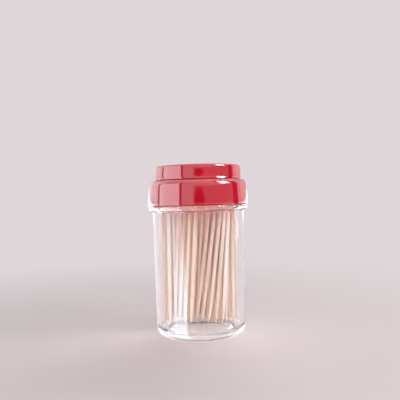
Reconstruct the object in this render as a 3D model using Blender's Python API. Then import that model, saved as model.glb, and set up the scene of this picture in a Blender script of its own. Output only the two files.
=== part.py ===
"""Toothpick dispenser: a clear jar, a push-on red cap with a raised turret, a turning top with one outlet, and the
loose toothpicks. Metres, +Z up, origin on the jar's axis at the surface that it stands on; -Y is the front."""

import math
import random

import bmesh
import bpy
from mathutils import Vector

# Gaps and clearances.
SEAT_GAP = 0.0003
RUN_CLEARANCE = 0.0003
SNAP_CLEARANCE = 0.0001
OVERRUN = 0.0020
WELD_DISTANCE = 0.000001

# Jar: a straight cup whose neck goes on up inside the cap.
JAR_RADIUS = 0.0253
JAR_DRAFT = 0.0005
JAR_WALL = 0.0020
JAR_BODY_HEIGHT = 0.0711
FLOOR_THICKNESS = 0.0021
HEEL_ROUND = 0.0042
INNER_HEEL_ROUND = 0.0022
FOOT_WIDTH = 0.0018
PUSH_UP = 0.0020
FLANGE_REACH = 0.0021
FLANGE_THICKNESS = 0.0026
FLANGE_COVE = 0.0010
FLANGE_TOP_EDGE = 0.0003
FLANGE_ROUND = 0.0009
NECK_STEP_IN = 0.0005
NECK_HEIGHT = 0.0128
NECK_BEAD_REACH = 0.0005
NECK_BEAD_HEIGHT = 0.0018
NECK_BEAD_RISE = 0.0046
RIM_ROUND = 0.0007

# Cap: skirt, deck, plug ring and turret in one moulding.
SKIRT_CLEARANCE = 0.0004
SKIRT_WALL = 0.0015
SKIRT_DRAFT = 0.0007
SKIRT_LIP = 0.0003
DECK_THICKNESS = 0.0015
SHOULDER_ROUND = 0.0029
SNAP_RIDGE_HEIGHT = 0.0014
PLUG_CLEARANCE = 0.0003
PLUG_WALL = 0.0012
PLUG_DEPTH = 0.0030
PLUG_CHAMFER = 0.0004
TURRET_STEP_IN = 0.0006
TURRET_HEIGHT = 0.0060
TURRET_WALL = 0.0014
TURRET_PLATE = 0.0016
TURRET_EDGE = 0.0005

# Dial: the turning top, a shallow cup over the turret, held by a split post with a barb.
DIAL_LIFT = 0.0005
DIAL_WALL = 0.0014
DIAL_DRAFT = 0.0002
DIAL_PLATE = 0.0014
DIAL_ROUND = 0.0011
DIAL_LIP = 0.0003
POST_RADIUS = 0.0030
POST_BARB = 0.0006
POST_BARB_HEIGHT = 0.0008
POST_LEAD_IN = 0.0018
POST_SLIT = 0.0010
OUTLET_RADIUS = 0.0031
OUTLET_LAND = 0.0011
OUTLET_LEAD_IN = 0.0006
STOP_PIN_RADIUS = 0.0010
STOP_PIN_OFFSET = 0.0095
STOP_PIN_REACH = 0.0007
STOP_CLEARANCE = 0.0002
DIAL_TURN_DEGREES = 90
OUTLET_DEGREES = -90
STOP_DEGREES = 60

# Toothpicks: they stand on the floor in flat layers, from the back wall to a little short of the jar's middle.
PICK_LENGTH = 0.0650
PICK_RADIUS = 0.00100
PICK_TIP_RADIUS = 0.00026
PICK_TAPER = 0.0095
PICK_GAP = 0.00010
PICK_MOST_LEAN = 0.0105
LAYER_BACK_LEAN = 0.0012
BACK_LAYER_INSET = 0.0008
HEAD_CLEARANCE = 0.0013
FOOT_CLEARANCE = 0.0003
PICK_SEED = 11
SLACK_POWER = 2.2

# The back layer is whole. The layers between it and the two front ones are hidden but for their ends, by the wall.
BACK_LAYER_COUNT = 5
END_COUNTS = (3, 2, 2, 2, 2, 2)
END_SLACK = 0.0006

# The two front layers are whole and lean across. These are shares of a layer's free width: before its first
# toothpick, between each two, and after its last, at the feet and at the heads.
SECOND_FEET = (1.6, 0.3, 0.3, 0.2, 0.2, 0.1, 0.1, 0.2, 0.6, 0.9, 1.1, 1.3, 1.5, 1.5, 3.2)
SECOND_HEADS = (0.1, 0.6, 0.4, 1.7, 1.1, 0.7, 0.9, 0.9, 0.7, 0.9, 0.7, 0.8, 0.3, 0.2, 0.1)
FRONT_FEET = (0.6, 1.0, 0.3, 0.5, 0.8, 1.0, 1.0, 0.9, 1.4, 1.5, 1.6, 3.6, 3.3)
FRONT_HEADS = (0.1, 0.3, 3.8, 1.1, 0.9, 0.9, 5.8, 1.0, 0.8, 0.1, 0.1, 0.1, 0.1)
TAPER_LENGTH_SHARES = (0.0, 0.36, 1.0)
TAPER_RADIUS_SHARES = (0.0, 0.62, 1.0)

# Facets.
ROUND_STEPS = 56
HOLE_STEPS = 24
FILLET_STEPS = 5
PICK_SIDES = 7

# Where the pieces meet, worked out from the sizes above.
FLOOR_TOP_Z = PUSH_UP + FLOOR_THICKNESS
NECK_RADIUS = JAR_RADIUS - NECK_STEP_IN
JAR_INNER_RADIUS = JAR_RADIUS - JAR_WALL
RIM_Z = JAR_BODY_HEIGHT + NECK_HEIGHT
BEAD_RADIUS = NECK_RADIUS + NECK_BEAD_REACH
BEAD_Z = JAR_BODY_HEIGHT + NECK_BEAD_RISE
SKIRT_BOTTOM_Z = JAR_BODY_HEIGHT + SEAT_GAP
SKIRT_INNER_RADIUS = BEAD_RADIUS + SKIRT_CLEARANCE
CAP_RADIUS = SKIRT_INNER_RADIUS + SKIRT_DRAFT + SKIRT_WALL
SNAP_RIDGE_RADIUS = BEAD_RADIUS + SNAP_CLEARANCE
DECK_UNDER_Z = RIM_Z + SEAT_GAP
DECK_TOP_Z = DECK_UNDER_Z + DECK_THICKNESS
PLUG_RADIUS = JAR_INNER_RADIUS - PLUG_CLEARANCE
PLUG_INNER_RADIUS = PLUG_RADIUS - PLUG_WALL
TURRET_RADIUS = JAR_INNER_RADIUS - TURRET_STEP_IN
TURRET_INNER_RADIUS = TURRET_RADIUS - TURRET_WALL
TURRET_TOP_Z = DECK_TOP_Z + TURRET_HEIGHT
TURRET_UNDER_Z = TURRET_TOP_Z - TURRET_PLATE
DIAL_INNER_RADIUS = TURRET_RADIUS + RUN_CLEARANCE
DIAL_RADIUS = DIAL_INNER_RADIUS + DIAL_WALL
DIAL_BOTTOM_Z = DECK_TOP_Z + DIAL_LIFT
DIAL_UNDER_Z = TURRET_TOP_Z + SEAT_GAP
DIAL_TOP_Z = DIAL_UNDER_Z + DIAL_PLATE
PIVOT_HOLE_RADIUS = POST_RADIUS + RUN_CLEARANCE
BARB_TOP_Z = TURRET_UNDER_Z - SEAT_GAP
OUTLET_OFFSET = TURRET_INNER_RADIUS - OUTLET_LAND - OUTLET_LEAD_IN - OUTLET_RADIUS
STOP_GROOVE_DEPTH = STOP_PIN_REACH - SEAT_GAP + STOP_CLEARANCE


def clear_scene():
    for old in list(bpy.data.objects):
        bpy.data.objects.remove(old)


def plastic(name, colour, roughness, alpha=1.0, ior=1.5):
    """A Principled material; alpha below 1 is a clear moulding."""
    material = bpy.data.materials.new(name)
    material.use_nodes = True
    shader = material.node_tree.nodes["Principled BSDF"]
    shader.inputs["Base Color"].default_value = (*colour, 1.0)
    shader.inputs["Roughness"].default_value = roughness
    shader.inputs["Metallic"].default_value = 0.0
    shader.inputs["IOR"].default_value = ior
    shader.inputs["Alpha"].default_value = alpha
    material.diffuse_color = (*colour, alpha)
    return material


def arc(centre, radius, start, end, steps=FILLET_STEPS):
    """Points on a round corner of a profile, from one angle to another in degrees, both ends included."""
    turn = [math.radians(start + (end - start) * i / steps) for i in range(steps + 1)]
    return [(centre[0] + radius * math.cos(t), centre[1] + radius * math.sin(t)) for t in turn]


def object_of(name, mesh, material):
    mesh.materials.clear()
    mesh.materials.append(material)
    made = bpy.data.objects.new(name, mesh)
    bpy.context.scene.collection.objects.link(made)
    return made


def finished_mesh(name, shape):
    """The bmesh as a mesh that is closed, faces outwards and is shaded smooth between its sharp edges."""
    bmesh.ops.remove_doubles(shape, verts=shape.verts, dist=WELD_DISTANCE)
    bmesh.ops.recalc_face_normals(shape, faces=shape.faces)
    mesh = bpy.data.meshes.new(name)
    shape.to_mesh(mesh)
    shape.free()
    mesh.shade_smooth()
    mesh.set_sharp_from_angle(angle=math.radians(35))
    return mesh


def turned_mesh(name, profile, steps=ROUND_STEPS, ring=False):
    """Spins a profile of (radius, height) points round Z. A ring's profile is a loop clear of the axis."""
    shape = bmesh.new()
    points = [shape.verts.new((radius, 0, height)) for radius, height in profile]
    pairs = list(zip(points, points[1:]))
    if ring:
        pairs.append((points[-1], points[0]))
    edges = [shape.edges.new(pair) for pair in pairs]
    bmesh.ops.spin(
        shape,
        geom=points + edges,
        cent=(0, 0, 0),
        axis=(0, 0, 1),
        angle=2 * math.pi,
        steps=steps,
        use_merge=True,
    )
    return finished_mesh(name, shape)


def extruded_mesh(name, outline, bottom, top):
    """A flat outline of (x, y) points, drawn up from one height to another."""
    shape = bmesh.new()
    base = shape.faces.new([shape.verts.new((x, y, bottom)) for x, y in outline])
    drawn = bmesh.ops.extrude_face_region(shape, geom=[base])
    moved = [item for item in drawn["geom"] if isinstance(item, bmesh.types.BMVert)]
    bmesh.ops.translate(shape, verts=moved, vec=(0, 0, top - bottom))
    return finished_mesh(name, shape)


def on_circle(radius, degrees):
    turn = math.radians(degrees)
    return radius * math.cos(turn), radius * math.sin(turn)


def round_outline(centre, radius, steps=HOLE_STEPS):
    return [(centre[0] + x, centre[1] + y) for x, y in (on_circle(radius, 360 * i / steps) for i in range(steps))]


def arc_slot_outline(radius, half_width, start, sweep, steps=12):
    """A slot that follows a circle, with round ends centred on its two end angles."""
    end = start + sweep
    outer = [on_circle(radius + half_width, start + sweep * i / steps) for i in range(steps + 1)]
    inner = [on_circle(radius - half_width, end - sweep * i / steps) for i in range(steps + 1)]
    far = arc(on_circle(radius, end), half_width, end, end + 180)[1:-1]
    near = arc(on_circle(radius, start), half_width, start + 180, start + 360)[1:-1]
    return outer + far + inner + near


def add_boolean(target, tool, operation):
    modifier = target.modifiers.new(f"{operation.lower()} {tool.name}", "BOOLEAN")
    modifier.operation = operation
    modifier.object = tool
    modifier.solver = "EXACT"
    tool.hide_render = True
    tool.display_type = "WIRE"
    tool.parent = target


def jar_profile():
    """From the middle of the underside out, up over the rim, and down inside to the middle of the floor."""
    base_radius = JAR_RADIUS - JAR_DRAFT
    foot_outer = base_radius - HEEL_ROUND
    flange_radius = JAR_RADIUS + FLANGE_REACH
    flange_under = JAR_BODY_HEIGHT - FLANGE_THICKNESS
    bead_half = NECK_BEAD_HEIGHT / 2
    inner_base = base_radius - JAR_WALL
    return (
        [(0, PUSH_UP), (foot_outer - FOOT_WIDTH - PUSH_UP, PUSH_UP), (foot_outer - FOOT_WIDTH, 0)]
        + arc((foot_outer, HEEL_ROUND), HEEL_ROUND, -90, 0)
        + arc((JAR_RADIUS + FLANGE_COVE, flange_under - FLANGE_COVE), FLANGE_COVE, 180, 90, 3)
        + arc((flange_radius - FLANGE_ROUND, flange_under + FLANGE_ROUND), FLANGE_ROUND, -90, 0, 3)
        + [(flange_radius, JAR_BODY_HEIGHT - FLANGE_TOP_EDGE)]
        + [(flange_radius - FLANGE_TOP_EDGE, JAR_BODY_HEIGHT)]
        + [(NECK_RADIUS, JAR_BODY_HEIGHT), (NECK_RADIUS, BEAD_Z - bead_half)]
        + [(BEAD_RADIUS, BEAD_Z - NECK_BEAD_REACH / 2), (BEAD_RADIUS, BEAD_Z + NECK_BEAD_REACH / 2)]
        + [(NECK_RADIUS, BEAD_Z + bead_half)]
        + arc((NECK_RADIUS - RIM_ROUND, RIM_Z - RIM_ROUND), RIM_ROUND, 0, 90, 3)
        + arc((JAR_INNER_RADIUS + RIM_ROUND, RIM_Z - RIM_ROUND), RIM_ROUND, 90, 180, 3)
        + arc((inner_base - INNER_HEEL_ROUND, FLOOR_TOP_Z + INNER_HEEL_ROUND), INNER_HEEL_ROUND, 0, -90, 4)
        + [(0, FLOOR_TOP_Z)]
    )


def make_jar():
    clear = plastic("clear_styrene", (0.86, 0.87, 0.88), 0.04, alpha=0.28, ior=1.57)
    return object_of("jar", turned_mesh("jar", jar_profile()), clear)


def cap_profile():
    """The loop runs up the outside of the skirt, over the turret to the pivot hole, and back along the inside."""
    top_radius = CAP_RADIUS - SKIRT_DRAFT
    plug_bottom = DECK_UNDER_Z - PLUG_DEPTH
    ridge_top = BEAD_Z - NECK_BEAD_HEIGHT / 2 - SEAT_GAP
    ridge_reach = SKIRT_INNER_RADIUS - SNAP_RIDGE_RADIUS
    return (
        [(CAP_RADIUS - SKIRT_LIP, SKIRT_BOTTOM_Z), (CAP_RADIUS, SKIRT_BOTTOM_Z + SKIRT_LIP)]
        + arc((top_radius - SHOULDER_ROUND, DECK_TOP_Z - SHOULDER_ROUND), SHOULDER_ROUND, 0, 90)
        + [(TURRET_RADIUS, DECK_TOP_Z), (TURRET_RADIUS, TURRET_TOP_Z - TURRET_EDGE)]
        + [(TURRET_RADIUS - TURRET_EDGE, TURRET_TOP_Z), (PIVOT_HOLE_RADIUS, TURRET_TOP_Z)]
        + [(PIVOT_HOLE_RADIUS, TURRET_UNDER_Z), (TURRET_INNER_RADIUS - TURRET_EDGE, TURRET_UNDER_Z)]
        + [(TURRET_INNER_RADIUS, TURRET_UNDER_Z - TURRET_EDGE), (TURRET_INNER_RADIUS, DECK_UNDER_Z)]
        + [(PLUG_INNER_RADIUS, DECK_UNDER_Z), (PLUG_INNER_RADIUS, plug_bottom)]
        + [(PLUG_RADIUS - PLUG_CHAMFER, plug_bottom), (PLUG_RADIUS, plug_bottom + PLUG_CHAMFER)]
        + [(PLUG_RADIUS, DECK_UNDER_Z), (SKIRT_INNER_RADIUS - SKIRT_WALL / 2, DECK_UNDER_Z)]
        + [(SKIRT_INNER_RADIUS, DECK_UNDER_Z - SKIRT_WALL / 2), (SKIRT_INNER_RADIUS, ridge_top)]
        + [(SNAP_RIDGE_RADIUS, ridge_top - ridge_reach)]
        + [(SNAP_RIDGE_RADIUS, ridge_top - SNAP_RIDGE_HEIGHT + ridge_reach)]
        + [(SKIRT_INNER_RADIUS, ridge_top - SNAP_RIDGE_HEIGHT)]
        + [(SKIRT_INNER_RADIUS + SKIRT_DRAFT, SKIRT_BOTTOM_Z)]
    )


def outlet_cutter(name, bottom, top, wide_at_top, material):
    """A round hole's cutter whose mouth flares by the lead-in, at the top face or at the bottom one."""
    mouth_radius = OUTLET_RADIUS + OUTLET_LEAD_IN
    mouth = [
        (0, top + OVERRUN),
        (mouth_radius, top + OVERRUN),
        (mouth_radius, top),
        (OUTLET_RADIUS, top - OUTLET_LEAD_IN),
        (OUTLET_RADIUS, bottom - OVERRUN),
        (0, bottom - OVERRUN),
    ]
    if not wide_at_top:
        mouth = [(radius, top + bottom - height) for radius, height in reversed(mouth)]
    cutter = object_of(name, turned_mesh(name, mouth, HOLE_STEPS), material)
    cutter.location = (*on_circle(OUTLET_OFFSET, OUTLET_DEGREES), 0)
    return cutter


def make_cap(red):
    """The dial stands open: the turret's outlet is under the dial's own, and a quarter turn shuts it."""
    cap = object_of("cap", turned_mesh("cap", cap_profile(), ring=True), red)
    outlet = outlet_cutter("cap_outlet_cutter", TURRET_UNDER_Z, TURRET_TOP_Z, False, red)
    add_boolean(cap, outlet, "DIFFERENCE")
    outline = arc_slot_outline(
        STOP_PIN_OFFSET, STOP_PIN_RADIUS + STOP_CLEARANCE, STOP_DEGREES, DIAL_TURN_DEGREES
    )
    groove_bottom = TURRET_TOP_Z - STOP_GROOVE_DEPTH
    groove_mesh = extruded_mesh("stop_groove_cutter", outline, groove_bottom, TURRET_TOP_Z + OVERRUN)
    groove = object_of("stop_groove_cutter", groove_mesh, red)
    add_boolean(cap, groove, "DIFFERENCE")
    return cap


def dial_profile():
    """From the middle of the top out, down the skirt, back under the plate, and down the post to its tip."""
    top_radius = DIAL_RADIUS - DIAL_DRAFT
    barb_radius = POST_RADIUS + POST_BARB
    barb_bottom = BARB_TOP_Z - POST_BARB_HEIGHT
    return (
        [(0, DIAL_TOP_Z)]
        + arc((top_radius - DIAL_ROUND, DIAL_TOP_Z - DIAL_ROUND), DIAL_ROUND, 90, 0)
        + [(DIAL_RADIUS, DIAL_BOTTOM_Z + DIAL_LIP), (DIAL_RADIUS - DIAL_LIP, DIAL_BOTTOM_Z)]
        + [(DIAL_INNER_RADIUS, DIAL_BOTTOM_Z), (DIAL_INNER_RADIUS, DIAL_UNDER_Z)]
        + [(POST_RADIUS, DIAL_UNDER_Z), (POST_RADIUS, BARB_TOP_Z)]
        + [(barb_radius, BARB_TOP_Z), (barb_radius, barb_bottom)]
        + [(POST_RADIUS - POST_BARB, barb_bottom - POST_LEAD_IN), (0, barb_bottom - POST_LEAD_IN)]
    )


def slit_outline(along_x):
    """A thin bar across the post and past its barb."""
    half_length = POST_RADIUS + POST_BARB + OVERRUN
    half_width = POST_SLIT / 2
    x, y = (half_length, half_width) if along_x else (half_width, half_length)
    return [(-x, -y), (x, -y), (x, y), (-x, y)]


def make_dial(red):
    dial = object_of("dial", turned_mesh("dial", dial_profile()), red)
    pin_centre = on_circle(STOP_PIN_OFFSET, STOP_DEGREES)
    pin_mesh = extruded_mesh(
        "stop_pin",
        round_outline(pin_centre, STOP_PIN_RADIUS, HOLE_STEPS // 2),
        DIAL_UNDER_Z - STOP_PIN_REACH,
        DIAL_UNDER_Z + DIAL_PLATE / 2,
    )
    add_boolean(dial, object_of("stop_pin_shape", pin_mesh, red), "UNION")
    outlet = outlet_cutter("dial_outlet_cutter", DIAL_UNDER_Z, DIAL_TOP_Z, True, red)
    add_boolean(dial, outlet, "DIFFERENCE")
    post_tip = BARB_TOP_Z - POST_BARB_HEIGHT - POST_LEAD_IN
    for name, along_x in (("post_slit_x_cutter", True), ("post_slit_y_cutter", False)):
        slit_mesh = extruded_mesh(name, slit_outline(along_x), post_tip - OVERRUN, DIAL_UNDER_Z)
        add_boolean(dial, object_of(name, slit_mesh, red), "DIFFERENCE")
    return dial


def pick_profile():
    """Both ends taper in the same slightly bulging line to a small blunt tip."""
    span = PICK_RADIUS - PICK_TIP_RADIUS
    taper = [
        (PICK_TIP_RADIUS + span * wide, PICK_TAPER * along)
        for wide, along in zip(TAPER_RADIUS_SHARES, TAPER_LENGTH_SHARES)
    ]
    mirrored = [(radius, PICK_LENGTH - height) for radius, height in reversed(taper)]
    return [(0, 0)] + taper + mirrored + [(0, PICK_LENGTH)]


def half_chord(radius, distance):
    """Half the width of a circle at a distance from its middle."""
    return math.sqrt(max(0, radius**2 - distance**2))


def spread_out(shares, half_width):
    """Sorted places across a layer, a pick's width or more apart, whose slack is shared out before, between and
    after them."""
    pitch = 2 * PICK_RADIUS + PICK_GAP
    slack = 2 * half_width - (len(shares) - 2) * pitch
    place = -half_width
    places = []
    for share in shares[:-1]:
        place += slack * share / sum(shares)
        places.append(place)
        place += pitch
    return places


def chance_shares(count, chance):
    return [chance.random() ** SLACK_POWER for _ in range(count + 1)]


def end_places(count, half_width, chance):
    """The toothpicks at both ends of a layer, close to each other and to the wall."""
    places = []
    for side in (-1, 1):
        place = half_width
        for _ in range(count):
            places.append(side * place)
            place -= 2 * PICK_RADIUS + PICK_GAP + END_SLACK * chance.random()
    return places


def layer_places(layer, foot_half, head_half, chance):
    """The x places of the feet and of the heads in one layer, counted from the back wall."""
    if layer > len(END_COUNTS):
        feet, heads = ((SECOND_FEET, SECOND_HEADS), (FRONT_FEET, FRONT_HEADS))[layer - len(END_COUNTS) - 1]
        return spread_out(feet, foot_half), spread_out(heads, head_half)
    upright_half = min(foot_half, head_half)
    if layer > 0:
        return [end_places(END_COUNTS[layer - 1], upright_half, chance) for _ in ("feet", "heads")]
    return [spread_out(chance_shares(BACK_LAYER_COUNT, chance), upright_half) for _ in ("feet", "heads")]


def pick_places():
    """The foot and head of each toothpick, layer by layer from the back wall. Every layer is a flat slab, so no
    pick meets one of another layer, and its picks keep their order from foot to head, so they don't cross."""
    chance = random.Random(PICK_SEED)
    foot_z = FLOOR_TOP_Z + SEAT_GAP
    head_reach = min(TURRET_INNER_RADIUS, PLUG_INNER_RADIUS) - PICK_RADIUS - HEAD_CLEARANCE
    foot_reach = JAR_INNER_RADIUS - JAR_DRAFT - max(INNER_HEEL_ROUND, PICK_RADIUS) - FOOT_CLEARANCE
    places = []
    for layer in range(len(END_COUNTS) + 3):
        head_y = head_reach - BACK_LAYER_INSET - layer * (2 * PICK_RADIUS + PICK_GAP)
        foot_y = head_y - LAYER_BACK_LEAN
        foot_half = half_chord(foot_reach, foot_y)
        head_half = half_chord(head_reach, head_y)
        feet, heads = layer_places(layer, foot_half, head_half, chance)
        widest = max(abs(head - foot) for head, foot in zip(heads, feet))
        lean = PICK_MOST_LEAN / max(PICK_MOST_LEAN, widest)
        for foot_x, head_x in zip(feet, heads):
            foot = Vector((foot_x, foot_y, foot_z))
            head = Vector((foot_x + lean * (head_x - foot_x), head_y, foot_z + PICK_LENGTH))
            places.append((foot, head))
    return places


def make_toothpicks():
    birch = plastic("birch", (0.80, 0.62, 0.44), 0.62)
    bundle = bpy.data.objects.new("toothpicks", None)
    bpy.context.scene.collection.objects.link(bundle)
    mesh = turned_mesh("toothpick", pick_profile(), PICK_SIDES)
    for number, (foot, head) in enumerate(pick_places(), 1):
        pick = object_of(f"toothpick_{number:02d}", mesh, birch)
        pick.parent = bundle
        pick.location = foot
        pick.rotation_mode = "QUATERNION"
        pick.rotation_quaternion = (head - foot).to_track_quat("Z", "Y")


def main():
    clear_scene()
    make_jar()
    red = plastic("cap_red", (0.52, 0.006, 0.02), 0.12)
    dial_red = plastic("dial_red", (0.52, 0.006, 0.02), 0.12)
    cap = make_cap(red)
    dial = make_dial(dial_red)
    dial.parent = cap
    make_toothpicks()
    bpy.context.view_layer.update()


main()
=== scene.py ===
"""Toothpick dispenser: a clear moulded jar, a push-on red cap with a turret, a turning red dial and the loose
birch toothpicks, dressed round the packed model. Metres, +Z up; -Y is the front."""

import math
import random

import bmesh
import bpy
from bpy.props import FloatProperty, FloatVectorProperty, IntProperty, PointerProperty
from bpy.types import Operator, Panel, PropertyGroup
from mathutils import Matrix, Vector


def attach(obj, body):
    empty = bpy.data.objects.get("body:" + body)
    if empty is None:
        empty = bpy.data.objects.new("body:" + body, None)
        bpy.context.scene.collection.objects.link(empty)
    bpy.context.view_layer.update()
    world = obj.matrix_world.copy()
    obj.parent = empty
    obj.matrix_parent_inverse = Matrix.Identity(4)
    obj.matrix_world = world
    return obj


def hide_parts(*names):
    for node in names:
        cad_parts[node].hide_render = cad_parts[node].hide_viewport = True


bl_info = {
    "name": "Toothpick Dispenser",
    "version": (1, 0, 0),
    "blender": (4, 5, 0),
    "location": "3D View > Sidebar > Dispenser",
    "description": "Builds a clear toothpick dispenser with a red push-on cap and a turning top",
    "category": "Object",
}

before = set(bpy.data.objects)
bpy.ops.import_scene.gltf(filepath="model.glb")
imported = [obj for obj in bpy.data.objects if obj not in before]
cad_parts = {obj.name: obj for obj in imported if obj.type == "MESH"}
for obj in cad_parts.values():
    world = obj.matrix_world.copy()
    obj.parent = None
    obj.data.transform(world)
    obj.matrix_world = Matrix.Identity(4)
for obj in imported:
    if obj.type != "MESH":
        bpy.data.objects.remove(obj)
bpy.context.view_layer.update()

MM = 0.001

# Facets and tolerances of the turned meshes.
ROUND_STEPS = 192
HOLE_STEPS = 64
FILLET_STEPS = 8
WELD_DISTANCE = 0.000001
SHARP_ANGLE = math.radians(32)
OVERRUN = 2 * MM
PICK_SIDES = 10
PICK_RINGS = 8
TAPER_STEP = (PICK_RINGS - 1) / 3
TIP_RISE_POWER = 1.1
TIP_INWARD_POWER = 1.9
GIRTH_SPREAD = 0.03

# Gaps between the pieces, as in the packed model.
SEAT_GAP = 0.3 * MM
RUN_CLEARANCE = 0.3 * MM
STOP_CLEARANCE = 0.2 * MM

# The lid's small parts: how far the turret stands inside the jar's wall, the land between its wall and the
# outlet, the barb and slits of the dial's post, and the stop pin with its groove, start and sweep in degrees.
TURRET_STEP_IN = 0.6 * MM
OUTLET_LAND = 1.7 * MM
BARB_REACH = 0.6 * MM
BARB_HEIGHT = 0.8 * MM
POST_LEAD_IN = 1.8 * MM
SLIT_WIDTH = 1.0 * MM
PIN_TRACK = 9.5 * MM
PIN_RADIUS = 1.0 * MM
PIN_REACH = 0.7 * MM
GROOVE_DEPTH = 0.6 * MM
GROOVE_START = 60
GROOVE_SWEEP = 90

# What gloss reflects besides an even room: azimuths from the camera to the right and heights, in degrees, how
# bright, and how soft the edge is. A later row hides an earlier one.
MIRRORED = (
    ("bright table", (-182, 182), (-47, -24), 3.6, 4.0),
    ("wall, far left", (-162, -90), (-10, 48), 2.8, 8.0),
    ("wall, left", (-142, -90), (-10, 48), 4.4, 8.0),
    ("wall, near left", (-124, -90), (-10, 48), 6.6, 8.0),
    ("wall, far right", (104, 150), (-10, 48), 2.0, 8.0),
    ("wall, near right", (104, 134), (-10, 48), 3.3, 8.0),
    ("foot of the left wall", (-182, -104), (-27, 1.5), 2.0, 2.5),
    ("foot of the right wall", (112, 182), (-27, 1.5), 1.3, 2.5),
    ("dim floor in front", (-30, 58), (-18, -2.5), 0.35, 3.0),
    ("pale band at eye level", (-182, 182), (-2.2, 1.2), 8.0, 1.0),
    ("room in front", (-37.5, 95), (0.5, 36), 1.6, 2.0),
    ("room in front, left part", (-37.5, -10), (0.5, 36), 3.9, 2.0),
    ("room in front, upper part", (-37.5, 95), (11.9, 38), 3.6, 1.2),
    ("softbox frame", (-103, -37.5), (-27, 34), 0.05, 0.6),
    ("left softbox", (-98.5, -42.5), (-72, 0), 4.6, 0.8),
    ("left softbox, upper half", (-98.5, -42.5), (-1.2, 30), 10.0, 0.8),
    ("left softbox, lit lower edge", (-150, -42.5), (-2.4, 0.6), 16.0, 0.8),
    ("camera, middle", (-7.5, 16), (3.2, 7.9), 0.03, 1.4),
    ("camera, top and foot", (-4, 11.5), (1.7, 10.9), 0.03, 1.4),
    ("stand", (-6, 14), (-17, -2), 0.1, 2.5),
    ("dark flag", (89, 106), (-27, 60), 0.15, 2.0),
    ("low card, left", (-71, -36), (-60, -11), 11.5, 2.5),
    ("low card, right", (62, 98), (-14.5, -5.5), 4.4, 2.5),
    ("right lamp", (55.5, 80.5), (14, 46), 60.0, 2.0),
    ("ceiling", (-182, 182), (60, 92), 5.0, 4.0),
    ("ceiling, left of the lamp", (-182, 50), (38, 92), 5.0, 5.0),
    ("ceiling, right of the lamp", (85, 182), (38, 92), 5.0, 5.0),
    ("ceiling, far left end", (-190, -140), (30, 74), 1.4, 10.0),
    ("ceiling, far right end", (140, 190), (30, 74), 1.4, 10.0),
)

# The lower half of the left softbox, which the jar mirrors, is cooler than the room: its azimuths and its
# heights, each with how soft the edge is.
COOL_ACROSS = ((-98.5, -37.5), 3.0)
COOL_UP = ((-95, -1.2), 1.5)

# Degrees to the right of the camera and up, then distance, width and height in metres, and power in watts.
LAMPS = (
    ("softbox_left", -62, 8, 0.80, 0.80, 0.70, 0.8),
    ("softbox_high_right", 66, 26, 0.90, 0.80, 0.50, 3.3),
    ("softbox_front", 6, 12, 1.00, 0.90, 0.40, 4.3),
    ("softbox_behind", 160, 40, 1.10, 0.90, 0.60, 5.0),
)
LAMP_TARGET = (0, 0, 55 * MM)
CAMERA_PLACE = (1.2 * MM, -305 * MM, 74.4 * MM)
CAMERA_ROLL = -1.65


def linear(hex_colour):
    """An sRGB hex colour as linear RGBA."""
    parts = [int(hex_colour[i : i + 2], 16) / 255 for i in (1, 3, 5)]
    return (*[c / 12.92 if c <= 0.04045 else ((c + 0.055) / 1.055) ** 2.4 for c in parts], 1.0)


def size(name, description, millimetres):
    return FloatProperty(name=name, description=description, default=millimetres * MM, min=0.0, unit="LENGTH")


def colour(name, description, hex_colour):
    given = {"name": name, "description": description, "default": linear(hex_colour)}
    return FloatVectorProperty(**given, size=4, min=0.0, max=1.0, subtype="COLOR")


class DispenserJar(PropertyGroup):
    """The clear jar."""

    radius: size("Radius", "Outside radius of the body under the flange", 25.3)
    draft: size("Draft", "How much narrower the body is at its foot", 0.5)
    wall: size("Wall", "Thickness of the wall", 2.0)
    body_height: size("Body height", "From the foot to the top of the flange", 71.1)
    floor: size("Floor", "Thickness of the floor", 2.1)
    push_up: size("Push-up", "How far the middle of the base stands off the table", 2.0)
    heel_round: size("Heel round", "Outside round from the wall to the foot", 4.2)
    inner_heel_round: size("Inner heel round", "Inside round from the wall to the floor", 2.2)
    foot_width: size("Foot width", "Width of the ring that it stands on", 1.8)
    flange_reach: size("Flange reach", "How far the flange stands out", 2.1)
    flange_thickness: size("Flange thickness", "Thickness of the flange", 2.6)
    flange_round: size("Flange round", "Round under the flange's edge", 0.9)
    cove: size("Cove", "Hollow round where the wall meets the flange", 0.7)
    neck_height: size("Neck height", "From the flange to the rim", 12.8)
    neck_step_in: size("Neck step", "How much narrower the neck is than the body", 0.5)
    bead_reach: size("Bead reach", "How far the neck's bead stands out", 0.5)
    bead_height: size("Bead height", "Height of the neck's bead", 1.8)
    bead_rise: size("Bead rise", "From the flange to the middle of the bead", 4.6)
    rim_round: size("Rim round", "Round on both edges of the rim", 0.7)
    tint: colour("Tint", "Colour of the clear styrene", "#FBF8F7")


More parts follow.
